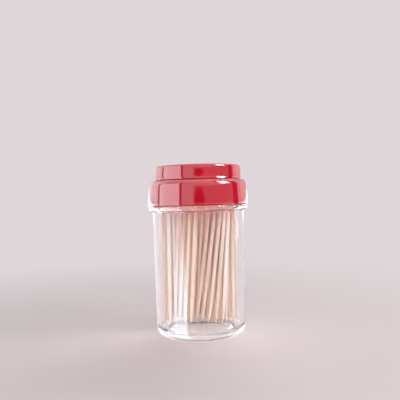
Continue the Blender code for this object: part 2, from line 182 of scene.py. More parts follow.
class DispenserLid(PropertyGroup):
    """The cap and the dial."""

    skirt_clearance: size("Skirt clearance", "Gap between the neck's bead and the skirt", 0.4)
    skirt_wall: size("Skirt wall", "Thickness of the skirt", 1.5)
    skirt_draft: size("Skirt draft", "How much wider the skirt is at its lower edge", 0.7)
    deck: size("Deck", "Thickness of the deck round the turret", 1.5)
    shoulder_round: size("Shoulder round", "Round from the skirt to the deck", 2.9)
    plug_depth: size("Plug depth", "How far the plug ring reaches into the jar", 3.0)
    plug_wall: size("Plug wall", "Thickness of the plug ring", 1.2)
    turret_height: size("Turret height", "From the deck to the turret's top", 6.0)
    turret_wall: size("Turret wall", "Thickness of the turret's wall", 1.4)
    turret_plate: size("Turret plate", "Thickness of the turret's top", 1.6)
    dial_lift: size("Dial lift", "Gap between the deck and the dial's edge", 0.1)
    dial_wall: size("Dial wall", "Thickness of the dial's rim", 1.4)
    dial_draft: size("Dial draft", "How much wider the dial is at its lower edge", 0.2)
    dial_plate: size("Dial plate", "Thickness of the dial's top", 1.4)
    dial_round: size("Dial round", "Round on the dial's top edge", 1.1)
    crown: size("Crown", "How much the skirt and the dial's rim swell in the middle", 0.08)
    outlet_radius: size("Outlet radius", "Radius of the hole that lets a toothpick out", 3.1)
    post_radius: size("Post radius", "Radius of the dial's split post", 3.0)
    red: colour("Red", "Colour of the moulded cap and dial", "#BA0D28")


class DispenserPicks(PropertyGroup):
    """The toothpicks."""

    length: size("Length", "Length of a toothpick", 65.0)
    radius: size("Radius", "Radius of a toothpick's middle", 1.05)
    tip_radius: size("Tip radius", "Radius of the blunt tip", 0.26)
    taper: size("Taper", "Length of each tapered end", 9.5)
    pitch: size("Pitch", "Least distance between two toothpicks", 2.2)
    foot_reach: size("Foot reach", "How far from the jar's axis a foot can stand", 21.2)
    head_reach: size("Head reach", "How far from the jar's axis a head can lean", 20.6)
    spread: FloatProperty(
        name="Spread", description="How far apart they stand, against the solids", default=1.065, min=1.0
    )
    most_lift: size("Most lift", "How far off the floor its neighbours can hold a toothpick", 2.0)
    post_lift: size("Lift under the post", "How far off the floor one can stand under the dial's post", 0.7)
    seed: IntProperty(name="Seed", description="Seed of all that differs between toothpicks", default=7)
    light: colour("Light wood", "Palest birch", "#F1E2D3")
    dark: colour("Dark wood", "Darkest birch", "#CFA993")


class DispenserStudio(PropertyGroup):
    """Background, floor and ambient light."""

    background: colour("Background", "Colour of the background", "#DFD6DA")
    softbox: colour("Softbox", "The left softbox as the jar mirrors it", "#C9D7E3")
    floor: colour("Floor", "Colour of the floor near the dispenser", "#E2D9DA")
    ambient: FloatProperty(
        name="Ambient", description="Strength of the world on matt surfaces", default=0.36, min=0.0
    )


def arc(centre, radius, start, end, steps=FILLET_STEPS):
    """Points on a round corner of a profile, from one angle to another in degrees, both ends included."""
    turns = [math.radians(start + (end - start) * i / steps) for i in range(steps + 1)]
    return [(centre[0] + radius * math.cos(t), centre[1] + radius * math.sin(t)) for t in turns]


def crowned(bottom, top, bulge, steps=10):
    """Points up a wall between two (radius, height) points that swells a little in the middle."""
    points = []
    for i in range(1, steps):
        share = i / steps
        radius = bottom[0] + (top[0] - bottom[0]) * share + 4 * bulge * share * (1 - share)
        points.append((radius, bottom[1] + (top[1] - bottom[1]) * share))
    return points


def on_circle(radius, degrees):
    turn = math.radians(degrees)
    return radius * math.cos(turn), radius * math.sin(turn)


def object_of(name, mesh, material=None):
    if material:
        mesh.materials.clear()
        mesh.materials.append(material)
    made = bpy.data.objects.new(name, mesh)
    bpy.context.scene.collection.objects.link(made)
    return made


def finished_mesh(name, shape):
    """The bmesh as a closed mesh that faces outwards and is shaded smooth between its sharp edges."""
    bmesh.ops.remove_doubles(shape, verts=shape.verts, dist=WELD_DISTANCE)
    bmesh.ops.recalc_face_normals(shape, faces=shape.faces)
    mesh = bpy.data.meshes.new(name)
    shape.to_mesh(mesh)
    shape.free()
    mesh.shade_smooth()
    mesh.set_sharp_from_angle(angle=SHARP_ANGLE)
    return mesh


def turned_mesh(name, profile, steps=ROUND_STEPS, ring=False):
    """Spins a profile of (radius, height) points round Z. A ring's profile is a loop clear of the axis."""
    shape = bmesh.new()
    points = [shape.verts.new((radius, 0, height)) for radius, height in profile]
    pairs = list(zip(points, points[1:]))
    if ring:
        pairs.append((points[-1], points[0]))
    edges = [shape.edges.new(pair) for pair in pairs]
    bmesh.ops.spin(
        shape,
        geom=points + edges,
        cent=(0, 0, 0),
        axis=(0, 0, 1),
        angle=2 * math.pi,
        steps=steps,
        use_merge=True,
    )
    return finished_mesh(name, shape)


def drawn_up_mesh(name, outline, bottom, top):
    """A flat outline of (x, y) points, drawn up from one height to another."""
    shape = bmesh.new()
    base = shape.faces.new([shape.verts.new((x, y, bottom)) for x, y in outline])
    drawn = bmesh.ops.extrude_face_region(shape, geom=[base])
    upper = [item for item in drawn["geom"] if isinstance(item, bmesh.types.BMVert)]
    bmesh.ops.translate(shape, verts=upper, vec=(0, 0, top - bottom))
    return finished_mesh(name, shape)


def plain_copy(made, name):
    """The evaluated object as a plain mesh, without its modifiers."""
    graph = bpy.context.evaluated_depsgraph_get()
    final = made.evaluated_get(graph)
    mesh = bpy.data.meshes.new_from_object(final, preserve_all_data_layers=True, depsgraph=graph)
    mesh.name = name
    return mesh


def cut(made, tools):
    """Joins or cuts each (mesh, operation) tool into the object, and leaves one plain mesh."""
    helpers = []
    for number, (mesh, operation) in enumerate(tools):
        helper = object_of(f"{made.name}_tool_{number}", mesh)
        modifier = made.modifiers.new(helper.name, "BOOLEAN")
        modifier.operation = operation
        modifier.object = helper
        modifier.solver = "EXACT"
        helpers.append(helper)
    bpy.context.view_layer.update()
    mesh = plain_copy(made, made.name)
    made.modifiers.clear()
    material = made.data.materials[0]
    made.data = mesh
    mesh.materials.clear()
    mesh.materials.append(material)
    for helper in helpers:
        bpy.data.objects.remove(helper)
    mesh.shade_smooth()
    mesh.set_sharp_from_angle(angle=SHARP_ANGLE)


def add_node(tree, kind, inputs=None, **settings):
    """Adds a node. Its inputs, by socket name or number, are values or the sockets that feed them."""
    node = tree.nodes.new(kind)
    for name, value in settings.items():
        setattr(node, name, value)
    for key, value in (inputs or {}).items():
        if isinstance(value, bpy.types.NodeSocket):
            tree.links.new(value, node.inputs[key])
        else:
            node.inputs[key].default_value = value
    return node


def new_material(name, diffuse):
    material = bpy.data.materials.new(name)
    material.use_nodes = True
    material.node_tree.nodes.clear()
    material.diffuse_color = diffuse
    return material, material.node_tree


def clear_styrene(tint):
    """Crystal polystyrene, injection moulded and polished: clear, glossy, with long soft flow waves in its
    surface that bend the highlights, and a few fine rubs from handling. Lamps light what is inside it."""
    material, tree = new_material("clear_polystyrene_moulded", tint)
    place = add_node(tree, "ShaderNodeTexCoord").outputs["Object"]
    # Flow waves run down the wall, 6 mm apart round it and several times longer. The rubs are 1.1 mm apart.
    along = add_node(tree, "ShaderNodeMapping", {"Vector": place, "Scale": (1, 1, 0.12)}).outputs["Vector"]
    waves = add_node(tree, "ShaderNodeTexNoise", {"Vector": along, "Scale": 1 / (6 * MM), "Detail": 1.5})
    rubs = add_node(tree, "ShaderNodeTexNoise", {"Vector": place, "Scale": 1 / (1.1 * MM), "Detail": 3.0})
    wavy = add_node(
        tree, "ShaderNodeBump", {"Strength": 0.3, "Distance": 0.05 * MM, "Height": waves.outputs["Fac"]}
    )
    rubbed = {"From Min": 0.45, "From Max": 0.85, "To Min": 0.02, "To Max": 0.09}
    rough = add_node(tree, "ShaderNodeMapRange", {"Value": rubs.outputs["Fac"], **rubbed})
    surface = add_node(
        tree,
        "ShaderNodeBsdfPrincipled",
        {
            "Base Color": tint,
            "Roughness": rough.outputs["Result"],
            "IOR": 1.57,
            "Transmission Weight": 0.975,
            "Normal": wavy.outputs["Normal"],
        },
    )
    shade = add_node(tree, "ShaderNodeBsdfTransparent", {"Color": linear("#F7F7F7")}).outputs["BSDF"]
    in_shadow = add_node(tree, "ShaderNodeLightPath").outputs["Is Shadow Ray"]
    mixed = add_node(tree, "ShaderNodeMixShader", {0: in_shadow, 1: surface.outputs["BSDF"], 2: shade})
    add_node(tree, "ShaderNodeOutputMaterial", {"Surface": mixed.outputs["Shader"]})
    return material


def red_polypropylene(name, red):
    """Polypropylene, injection moulded in a polished tool: a deep even red under a clear gloss, with a faint
    orange peel, slow waves where it shrank as it cooled, and a gloss that varies a little."""
    material, tree = new_material(name, red)
    place = add_node(tree, "ShaderNodeTexCoord").outputs["Object"]
    # Shrink waves are 9 mm apart and the orange peel 0.8 mm, as on a moulding of this size.
    waves = add_node(tree, "ShaderNodeTexNoise", {"Vector": place, "Scale": 1 / (9 * MM), "Detail": 1.0})
    peel = add_node(tree, "ShaderNodeTexNoise", {"Vector": place, "Scale": 1 / (0.8 * MM), "Detail": 2.0})
    slow = add_node(
        tree, "ShaderNodeBump", {"Strength": 0.3, "Distance": 0.06 * MM, "Height": waves.outputs["Fac"]}
    )
    heights = {"Height": peel.outputs["Fac"], "Normal": slow.outputs["Normal"]}
    fine = add_node(tree, "ShaderNodeBump", {"Strength": 0.12, "Distance": 0.01 * MM, **heights})
    rough, depth = [
        add_node(tree, "ShaderNodeMapRange", {"Value": waves.outputs["Fac"], "To Min": low, "To Max": high})
        for low, high in ((0.04, 0.08), (0.93, 1.07))
    ]
    tone = add_node(tree, "ShaderNodeHueSaturation", {"Color": red, "Value": depth.outputs["Result"]})
    surface = add_node(
        tree,
        "ShaderNodeBsdfPrincipled",
        {
            "Base Color": tone.outputs["Color"],
            "Roughness": rough.outputs["Result"],
            "IOR": 1.5,
            "Normal": fine.outputs["Normal"],
            "Subsurface Weight": 0.35,
            "Subsurface Radius": (1.0, 0.12, 0.12),
            "Subsurface Scale": 3.0 * MM,
        },
    )
    add_node(tree, "ShaderNodeOutputMaterial", {"Surface": surface.outputs["BSDF"]})
    return material


def birch_turned(light, dark):
    """White birch, turned and tumbled: dry and matt, with dark grain lines along the pick and a tone that
    differs from pick to pick. Real grain is 0.1 mm wide; it is drawn at 0.35 mm, as finer doesn't show."""
    material, tree = new_material("birch_turned", light)
    place = add_node(tree, "ShaderNodeTexCoord").outputs["Object"]
    tone = add_node(tree, "ShaderNodeAttribute", attribute_name="tone").outputs["Fac"]
    shift = add_node(tree, "ShaderNodeVectorMath", {0: place, 1: tone}, operation="ADD").outputs["Vector"]
    drawn = add_node(tree, "ShaderNodeMapping", {"Vector": shift, "Scale": (1, 1, 0.03)}).outputs["Vector"]
    grain = add_node(tree, "ShaderNodeTexNoise", {"Vector": drawn, "Scale": 1 / (0.35 * MM), "Detail": 3.0})
    patches = add_node(tree, "ShaderNodeTexNoise", {"Vector": shift, "Scale": 1 / (7 * MM), "Detail": 2.0})
    lines = add_node(
        tree, "ShaderNodeMapRange", {"Value": grain.outputs["Fac"], "From Min": 0.35, "From Max": 0.75}
    )
    # How dark: the toothpick's own tone, then its grain lines, then its patches, which are 7 mm apart.
    dark_by = tone
    for pattern, weight in ((lines.outputs["Result"], 0.35), (patches.outputs["Fac"], 0.4)):
        weighed = {0: pattern, 1: weight, 2: dark_by}
        dark_by = add_node(tree, "ShaderNodeMath", weighed, operation="MULTIPLY_ADD").outputs["Value"]
    share = add_node(tree, "ShaderNodeMapRange", {"Value": dark_by, "From Min": 0.2, "From Max": 1.5})
    tones = {0: share.outputs["Result"], 6: light, 7: dark}
    mixed = add_node(tree, "ShaderNodeMix", tones, data_type="RGBA")
    relief = add_node(
        tree, "ShaderNodeBump", {"Strength": 0.5, "Distance": 0.03 * MM, "Height": grain.outputs["Fac"]}
    )
    surface = add_node(
        tree,
        "ShaderNodeBsdfPrincipled",
        {
            "Base Color": mixed.outputs[2],
            "Roughness": 0.72,
            "IOR": 1.48,
            "Subsurface Weight": 0.15,
            "Subsurface Radius": (1.0, 0.6, 0.4),
            "Subsurface Scale": 0.8 * MM,
            "Normal": relief.outputs["Normal"],
        },
    )
    add_node(tree, "ShaderNodeOutputMaterial", {"Surface": surface.outputs["BSDF"]})
    return material


def seen_as(tree, lit, shown):
    """Shows one shader to camera, mirror and glass rays, and the other to everything else."""
    path = add_node(tree, "ShaderNodeLightPath").outputs
    any_of = path["Is Camera Ray"]
    for kind in ("Is Glossy Ray", "Is Transmission Ray"):
        any_of = add_node(tree, "ShaderNodeMath", {0: any_of, 1: path[kind]}, operation="MAXIMUM").outputs[0]
    return add_node(tree, "ShaderNodeMixShader", {0: any_of, 1: lit, 2: shown}).outputs["Shader"]


def soft_region(tree, *spans):
    """1 where each value lies between its two limits and 0 elsewhere, with smooth edges."""
    inside = 1.0
    for value, (low, high), soft in spans:
        for edge, before, after in ((low, 0.0, 1.0), (high, 1.0, 0.0)):
            span = {"From Min": edge - soft, "From Max": edge + soft, "To Min": before, "To Max": after}
            span["Value"] = value
            ramp = add_node(tree, "ShaderNodeMapRange", span, interpolation_type="SMOOTHSTEP")
            both = {0: inside, 1: ramp.outputs["Result"]}
            inside = add_node(tree, "ShaderNodeMath", both, operation="MULTIPLY").outputs[0]
    return inside


def paper_sweep(floor, background):
    """Matt paper: lit and shadowed near the dispenser, and one even pale tone further off."""
    material, tree = new_material("backdrop_paper", floor)
    place = add_node(tree, "ShaderNodeTexCoord").outputs["Object"]
    far = add_node(tree, "ShaderNodeVectorMath", {0: place}, operation="LENGTH").outputs["Value"]
    lit_to, even_from = 90 * MM, 420 * MM
    span = {"Value": far, "From Min": lit_to, "From Max": even_from}
    fade = add_node(tree, "ShaderNodeMapRange", span, interpolation_type="SMOOTHSTEP").outputs["Result"]
    # Through the jar's thick clear heel the paper always shows its even tone.
    through = add_node(tree, "ShaderNodeLightPath").outputs["Is Transmission Ray"]
    fade = add_node(tree, "ShaderNodeMath", {0: fade, 1: through}, operation="MAXIMUM").outputs[0]
    lit = add_node(tree, "ShaderNodeBsdfDiffuse", {"Color": floor}).outputs["BSDF"]
    even = add_node(tree, "ShaderNodeEmission", {"Color": background, "Strength": 1.0}).outputs["Emission"]
    shown = add_node(tree, "ShaderNodeMixShader", {0: fade, 1: lit, 2: even}).outputs["Shader"]
    add_node(tree, "ShaderNodeOutputMaterial", {"Surface": seen_as(tree, lit, shown)})
    return material


def jar_profile(jar):
    """From the middle of the underside out, up over the rim, and down inside to the middle of the floor."""
    base = jar.radius - jar.draft
    foot_outer = base - jar.heel_round
    flange = jar.radius + jar.flange_reach
    flange_under = jar.body_height - jar.flange_thickness
    neck = jar.radius - jar.neck_step_in
    inner = jar.radius - jar.wall
    rim = jar.body_height + jar.neck_height
    bead = jar.body_height + jar.bead_rise
    floor_top = jar.push_up + jar.floor
    gate_radius = 1.4 * MM
    gate_drop = 0.35 * MM
    top_round = 0.35 * MM
    foot_round = 0.7 * MM
    foot_inner = foot_outer - jar.foot_width
    bead_rise = jar.bead_height / 2
    bead_curve = [
        (neck + jar.bead_reach * math.cos(turn) ** 2, bead + bead_rise * math.sin(turn))
        for turn in (math.radians(-90 + 180 * i / 12) for i in range(13))
    ]
    return (
        [(0, jar.push_up - gate_drop), (gate_radius - gate_drop, jar.push_up - gate_drop)]
        + [(gate_radius, jar.push_up), (foot_inner - jar.push_up - foot_round, jar.push_up)]
        + arc((foot_inner - jar.push_up - foot_round, jar.push_up - foot_round), foot_round, 90, 45, 3)
        + arc((foot_inner + foot_round / 2, foot_round), foot_round, 225, 270, 4)
        + arc((foot_outer, jar.heel_round), jar.heel_round, -90, 0, 14)
        + arc((jar.radius + jar.cove, flange_under - jar.cove), jar.cove, 180, 90)
        + arc((flange - jar.flange_round, flange_under + jar.flange_round), jar.flange_round, -90, 0)
        + arc((flange - top_round, jar.body_height - top_round), top_round, 0, 90, 4)
        + arc((neck + top_round, jar.body_height + top_round), top_round, -90, -180, 4)
        + bead_curve
        + arc((neck - jar.rim_round, rim - jar.rim_round), jar.rim_round, 0, 90)
        + arc((inner + jar.rim_round, rim - jar.rim_round), jar.rim_round, 90, 180)
        + arc(
            (base - jar.wall - jar.inner_heel_round, floor_top + jar.inner_heel_round),
            jar.inner_heel_round,
            0,
            -90,
        )
        + [(0, floor_top)]
    )


class LidFit:
    """Where the cap and the dial meet the jar, from the three groups of sizes."""

    def __init__(self, jar, lid):
        self.skirt_bottom = jar.body_height + SEAT_GAP
        self.skirt_inner = jar.radius - jar.neck_step_in + jar.bead_reach + lid.skirt_clearance
        self.cap_radius = self.skirt_inner + lid.skirt_draft + lid.skirt_wall
        self.deck_under = jar.body_height + jar.neck_height + SEAT_GAP
        self.deck_top = self.deck_under + lid.deck
        self.bead_under = jar.body_height + jar.bead_rise - jar.bead_height / 2
        self.plug = jar.radius - jar.wall - RUN_CLEARANCE
        self.turret = jar.radius - jar.wall - TURRET_STEP_IN
        self.turret_inner = self.turret - lid.turret_wall
        self.turret_top = self.deck_top + lid.turret_height
        self.turret_under = self.turret_top - lid.turret_plate
        self.dial_inner = self.turret + RUN_CLEARANCE
        self.dial_radius = self.dial_inner + lid.dial_wall
        self.dial_bottom = self.deck_top + lid.dial_lift
        self.dial_under = self.turret_top + SEAT_GAP
        self.dial_top = self.dial_under + lid.dial_plate
        self.outlet_place = (0, -(self.turret_inner - OUTLET_LAND - lid.outlet_radius))
        self.barb_top = self.turret_under - SEAT_GAP
        self.barb_bottom = self.barb_top - BARB_HEIGHT
        self.post_tip = self.barb_bottom - POST_LEAD_IN


def cap_profile(fit, lid):
    """A loop up the outside of the skirt, over the turret to the pivot hole, and back along the inside."""
    top_radius = fit.cap_radius - lid.skirt_draft
    wall_top = fit.deck_top - lid.shoulder_round
    lip = 0.35 * MM
    edge = 0.5 * MM
    cove = 0.35 * MM
    pivot = lid.post_radius + RUN_CLEARANCE
    plug_bottom = fit.deck_under - lid.plug_depth
    plug_inner = fit.plug - lid.plug_wall
    ridge_top = fit.bead_under - SEAT_GAP
    ridge_reach = lid.skirt_clearance - 0.1 * MM
    ridge_height = 1.4 * MM
    under_round = lid.skirt_wall / 2
    # The shoulder goes on in the direction that the skirt has at its top.
    wall_lean = math.atan((lid.skirt_draft + 4 * lid.crown) / (wall_top - fit.skirt_bottom - lip))
    shoulder = lid.shoulder_round / (1 - math.sin(wall_lean))
    ridge = [
        (fit.skirt_inner - ridge_reach * math.sin(math.pi * i / 8), ridge_top - ridge_height * i / 8)
        for i in range(9)
    ]
    return (
        arc((fit.cap_radius - lip, fit.skirt_bottom + lip), lip, -90, 0, 4)
        + crowned((fit.cap_radius, fit.skirt_bottom + lip), (top_radius, wall_top), lid.crown)
        + arc(
            (top_radius - shoulder * math.cos(wall_lean), fit.deck_top - shoulder),
            shoulder,
            math.degrees(wall_lean),
            90,
            14,
        )
        + arc((fit.turret + cove, fit.deck_top + cove), cove, -90, -180, 4)
        + arc((fit.turret - edge, fit.turret_top - edge), edge, 0, 90, 5)
        + [(pivot, fit.turret_top), (pivot, fit.turret_under)]
        + arc((fit.turret_inner - edge, fit.turret_under - edge), edge, 90, 0, 5)
        + [(fit.turret_inner, fit.deck_under), (plug_inner, fit.deck_under)]
        + arc((plug_inner + edge, plug_bottom + edge), edge, 180, 270, 4)
        + arc((fit.plug - edge, plug_bottom + edge), edge, -90, 0, 4)
        + [(fit.plug, fit.deck_under)]
        + arc((fit.skirt_inner - under_round, fit.deck_under - under_round), under_round, 90, 0, 6)
        + ridge
        + arc((fit.skirt_inner + lid.skirt_draft + lip, fit.skirt_bottom + lip), lip, 180, 270, 3)
    )


def outlet_tool(fit, lid, bottom, top, wide_at_top):
    """A round hole whose mouth is eased by a soft lead-in, at the top face or at the bottom one."""
    ease = 0.6 * MM
    hole = lid.outlet_radius
    mouth = [(0, top + OVERRUN), (hole + ease, top + OVERRUN)]
    mouth += arc((hole + ease, top - ease), ease, 90, 180, 6)
    mouth += [(hole, bottom - OVERRUN), (0, bottom - OVERRUN)]
    if not wide_at_top:
        mouth = [(radius, top + bottom - height) for radius, height in reversed(mouth)]
    mesh = turned_mesh("outlet_tool", mouth, HOLE_STEPS)
    mesh.transform(Matrix.Translation((*fit.outlet_place, 0)))
    return mesh


def arc_slot(radius, half_width, start, sweep, steps=32):
    """A slot that follows a circle, with round ends centred on its two end angles."""
    end = start + sweep
    outer = [on_circle(radius + half_width, start + sweep * i / steps) for i in range(steps + 1)]
    inner = [on_circle(radius - half_width, end - sweep * i / steps) for i in range(steps + 1)]
    far = arc(on_circle(radius, end), half_width, end, end + 180)[1:-1]
    near = arc(on_circle(radius, start), half_width, start + 180, start + 360)[1:-1]
    return outer + far + inner + near


def dial_profile(fit, lid):
    """From the middle of the top out, down the skirt, back under the plate, and down the post to its tip."""
    top_radius = fit.dial_radius - lid.dial_draft
    wall_top = (top_radius, fit.dial_top - lid.dial_round)
    barb = lid.post_radius + BARB_REACH
    tip_radius = lid.post_radius - 0.6 * MM
    lip_height = 0.7 * MM
    lip_radius = fit.dial_radius + 0.2 * MM
    lip_edge = 0.1 * MM
    lip_lean = 21
    inner_edge = 0.3 * MM
    wall_foot = (fit.dial_radius, fit.dial_bottom + lip_height)
    gate = 1.5 * MM
    dimple = 0.25 * MM
    return (
        [(0, fit.dial_top - dimple), (gate - dimple, fit.dial_top - dimple), (gate, fit.dial_top)]
        + arc((top_radius - lid.dial_round, fit.dial_top - lid.dial_round), lid.dial_round, 90, 0, 10)
        + crowned(wall_foot, wall_top, lid.crown)[::-1]
        + [wall_foot]
        + arc((lip_radius - lip_edge, fit.dial_bottom + lip_edge), lip_edge, lip_lean, -90, 6)
        + arc((fit.dial_inner + inner_edge, fit.dial_bottom + inner_edge), inner_edge, -90, -180, 4)
        + [(fit.dial_inner, fit.dial_under), (lid.post_radius, fit.dial_under)]
        + [(lid.post_radius, fit.barb_top), (barb, fit.barb_top), (barb, fit.barb_bottom)]
        + [(tip_radius, fit.post_tip), (0, fit.post_tip)]
    )


class DISPENSER_OT_stage(Operator):
    """Lays the pale floor and backdrop, sets the lamps and world, and places the camera"""

    bl_idname = "dispenser.stage"
    bl_label = "Stage"

    def execute(self, context):
        studio = context.scene.dispenser_studio
        self.make_sweep(studio)
        self.make_world(context.scene, studio)
        self.make_lamps()
        self.make_camera(context.scene)
        context.scene.view_settings.view_transform = "Standard"
        return {"FINISHED"}

    def make_sweep(self, studio):
        """A paper sweep: floor, a wide curve behind, and an upright back."""
        half_width, front, near, back, bend, top = 2.5, -2.5, 0.4, 1.6, 0.6, 1.8
        line = [(front, 0), (-near, 0), (near, 0)]
        line += [(back + x, z) for x, z in arc((0, bend), bend, -90, 0, 16)] + [(back + bend, top)]
        shape = bmesh.new()
        rows = [[shape.verts.new((x, y, z)) for y, z in line] for x in (-half_width, half_width)]
        for i in range(len(line) - 1):
            shape.faces.new((rows[0][i], rows[1][i], rows[1][i + 1], rows[0][i + 1]))
        mesh = bpy.data.meshes.new("paper_sweep")
        shape.to_mesh(mesh)
        shape.free()
        mesh.shade_smooth()
        sweep = object_of("paper_sweep", mesh, paper_sweep(studio.floor, studio.background))
        sweep.visible_glossy = False

    def make_world(self, scene, studio):
        """An even pale room, in which gloss also shows softboxes and the dark camera."""
        world = bpy.data.worlds.new("studio")
        world.use_nodes = True
        scene.world = world
        tree = world.node_tree
        tree.nodes.clear()
        place = add_node(tree, "ShaderNodeTexCoord").outputs["Generated"]
        way = add_node(tree, "ShaderNodeSeparateXYZ", {0: place}).outputs
        forward = add_node(tree, "ShaderNodeMath", {0: way["Y"], 1: -1.0}, operation="MULTIPLY").outputs[0]
        turn = add_node(tree, "ShaderNodeMath", {0: way["X"], 1: forward}, operation="ARCTAN2").outputs[0]
        climb = add_node(tree, "ShaderNodeMath", {0: way["Z"]}, operation="ARCSINE").outputs[0]
        azimuth = add_node(tree, "ShaderNodeMath", {0: turn}, operation="DEGREES").outputs[0]
        rise = add_node(tree, "ShaderNodeMath", {0: climb}, operation="DEGREES").outputs[0]
        strength = 1.0
        for _, across, up, bright, soft in MIRRORED:
            inside = soft_region(tree, (azimuth, across, soft), (rise, up, soft))
            mixed = {0: inside, 2: strength, 3: bright}
            strength = add_node(tree, "ShaderNodeMix", mixed, data_type="FLOAT").outputs[0]
        path = add_node(tree, "ShaderNodeLightPath").outputs
        # A ray that has only gone through the jar meets the even room, and one that was also mirrored inside
        # it meets nothing darker than that.
        least = {0: strength, 1: path["Is Transmission Ray"]}
        brighter = add_node(tree, "ShaderNodeMath", least, operation="MAXIMUM").outputs[0]
        mixed = {0: path["Glossy Depth"], 2: 1.0, 3: brighter}
        seen = add_node(tree, "ShaderNodeMix", mixed, data_type="FLOAT")
        cool = {0: path["Glossy Depth"], 1: soft_region(tree, (azimuth, *COOL_ACROSS), (rise, *COOL_UP))}
        share = add_node(tree, "ShaderNodeMath", cool, operation="MULTIPLY").outputs[0]
        tint = {0: share, 6: studio.background, 7: studio.softbox}
        tinted = add_node(tree, "ShaderNodeMix", tint, data_type="RGBA").outputs[2]
        shown = add_node(tree, "ShaderNodeBackground", {"Color": tinted, "Strength": seen.outputs[0]})
        lit = add_node(tree, "ShaderNodeBackground", {"Color": (1, 1, 1, 1), "Strength": studio.ambient})
        both = seen_as(tree, lit.outputs["Background"], shown.outputs["Background"])
        add_node(tree, "ShaderNodeOutputWorld", {"Surface": both})

    def make_lamps(self):
        """Softboxes on the left, high on the right, in front and behind, which gloss doesn't mirror."""
        for name, turn, rise, distance, width, height, power in LAMPS:
            data = bpy.data.lights.new(name, "AREA")
            data.shape = "RECTANGLE"
            data.size = width
            data.size_y = height
            data.energy = power
            lamp = bpy.data.objects.new(name, data)
            bpy.context.scene.collection.objects.link(lamp)
            side, lift = math.radians(turn), math.radians(rise)
            way = Vector((math.sin(side) * math.cos(lift), -math.cos(side) * math.cos(lift), math.sin(lift)))
            lamp.location = Vector(LAMP_TARGET) + distance * way
            lamp.rotation_euler = way.to_track_quat("Z", "Y").to_euler()
            lamp.visible_glossy = False

    def make_camera(self, scene):
        """A level view with the slight tilt that the dispenser has in its picture."""
        data = bpy.data.cameras.new("camera")
        data.lens = 48.6
        data.sensor_width = 36
        camera = bpy.data.objects.new("camera", data)
        scene.collection.objects.link(camera)
        level = Matrix.Rotation(math.radians(90), 4, "X")
        roll = Matrix.Rotation(math.radians(CAMERA_ROLL), 4, "Z")
        camera.matrix_world = Matrix.Translation(CAMERA_PLACE) @ level @ roll
        scene.camera = camera


class DISPENSER_OT_jar(Operator):
    """Turns the clear jar with its foot, flange, neck bead and rim"""

    bl_idname = "dispenser.jar"
    bl_label = "Jar"

    def execute(self, context):
        jar = context.scene.dispenser_jar
        made = object_of("clear_jar", turned_mesh("clear_jar", jar_profile(jar)), clear_styrene(jar.tint))
        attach(made, "jar")
        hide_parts("jar")
        return {"FINISHED"}


class DISPENSER_OT_cap(Operator):
    """Turns the cap, and cuts its outlet and the groove for the dial's stop pin"""

    bl_idname = "dispenser.cap"
    bl_label = "Cap"

    def execute(self, context):
        lid = context.scene.dispenser_lid
        fit = LidFit(context.scene.dispenser_jar, lid)
        material = red_polypropylene("red_polypropylene_cap", lid.red)
        mesh = turned_mesh("moulded_cap", cap_profile(fit, lid), ring=True)
        made = object_of("moulded_cap", mesh, material)
        groove = drawn_up_mesh(
            "stop_groove",
            arc_slot(PIN_TRACK, PIN_RADIUS + STOP_CLEARANCE, GROOVE_START, GROOVE_SWEEP),
            fit.turret_top - GROOVE_DEPTH,
            fit.turret_top + OVERRUN,
        )
        outlet = outlet_tool(fit, lid, fit.turret_under, fit.turret_top, False)
        cut(made, [(outlet, "DIFFERENCE"), (groove, "DIFFERENCE")])
        self.make_glow(made, fit)
        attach(made, "cap")
        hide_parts("cap")
        return {"FINISHED"}

    def make_glow(self, cap, fit):
        """The red light that the lid lets through to what is under it. It lifts off with the cap."""
        width, red, power, under_plate = 36 * MM, (1.0, 0.28, 0.3), 0.009, 0.6 * MM
        data = bpy.data.lights.new("glow_of_the_lid", "AREA")
        data.shape = "DISK"
        data.size = width
        data.color = red
        data.energy = power
        glow = bpy.data.objects.new("glow_of_the_lid", data)
        bpy.context.scene.collection.objects.link(glow)
        glow.parent = cap
        glow.location = (0, 0, fit.turret_under - under_plate)
        for kind in ("camera", "glossy", "transmission"):
            setattr(glow, f"visible_{kind}", False)


class DISPENSER_OT_dial(Operator):
    """Turns the dial, cuts its outlet and the slits of its post, and adds its stop pin"""

    bl_idname = "dispenser.dial"
    bl_label = "Dial"

    def execute(self, context):
        lid = context.scene.dispenser_lid
        fit = LidFit(context.scene.dispenser_jar, lid)
        material = red_polypropylene("red_polypropylene_dial", lid.red)
        made = object_of("moulded_dial", turned_mesh("moulded_dial", dial_profile(fit, lid)), material)
        pin = drawn_up_mesh(
            "stop_pin",
            arc(on_circle(PIN_TRACK, GROOVE_START), PIN_RADIUS, 0, 360, 24)[:-1],
            fit.dial_under - PIN_REACH,
            fit.dial_under + lid.dial_plate / 2,
        )
        tools = [(pin, "UNION"), (outlet_tool(fit, lid, fit.dial_under, fit.dial_top, True), "DIFFERENCE")]
        long, narrow = lid.post_radius + BARB_REACH + OVERRUN, SLIT_WIDTH / 2
        for x, y in ((long, narrow), (narrow, long)):
            outline = [(-x, -y), (x, -y), (x, y), (-x, y)]
            slit = drawn_up_mesh("post_slit", outline, fit.post_tip - OVERRUN, fit.dial_under)
            tools.append((slit, "DIFFERENCE"))
        cut(made, tools)
        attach(made, "dial")
        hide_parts("dial")
        return {"FINISHED"}


def ends_of(node):
    """The middle of a packed toothpick's foot and of its head."""
    points = {tuple(round(c, 7) for c in node.matrix_world @ v.co) for v in node.data.vertices}
    near = 1 * MM
    low = min(z for _, _, z in points) + near
    high = max(z for _, _, z in points) - near
    ends = []
    for group in ([p for p in points if p[2] < low], [p for p in points if p[2] > high]):
        ends.append(Vector([sum(p[axis] for p in group) / len(group) for axis in range(3)]))
    return ends


